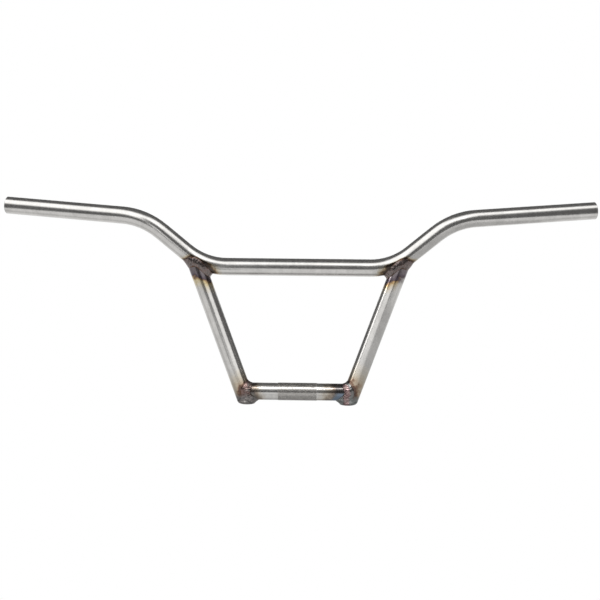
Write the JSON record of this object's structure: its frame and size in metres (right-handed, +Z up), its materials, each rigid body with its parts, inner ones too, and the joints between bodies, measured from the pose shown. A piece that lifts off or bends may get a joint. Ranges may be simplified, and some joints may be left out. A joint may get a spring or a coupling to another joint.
{
  "type": "bmx handlebar",
  "caption": "High-rise BMX handlebar of bent and welded raw steel tube, with swept-back grips, a crossbar, leaning legs and a short knurled lower bar for the stem clamp.",
  "frame": {"origin": "middle of the lower bar's axis, where the stem clamps it", "axes": "+X along the lower bar, to the right seen from the front; +Z up; the front faces -Y and the grips sweep back towards the rider, to +Y"},
  "size_m": [0.7666, 0.0631, 0.262],
  "materials": {
    "raw_steel": "raw brushed steel under a clear coat, with heat tint near the welds",
    "weld_metal": "unpolished weld bead with grey, brown and purple heat tint under a clear coat"
  },
  "bodies": {
    "root": {"top_bar": "raw_steel", "lower_bar": "raw_steel", "left_leg": "raw_steel", "right_leg": "raw_steel", "leg_plugs": "raw_steel", "weld_beads": "weld_metal"}
  },
  "joints": []
}
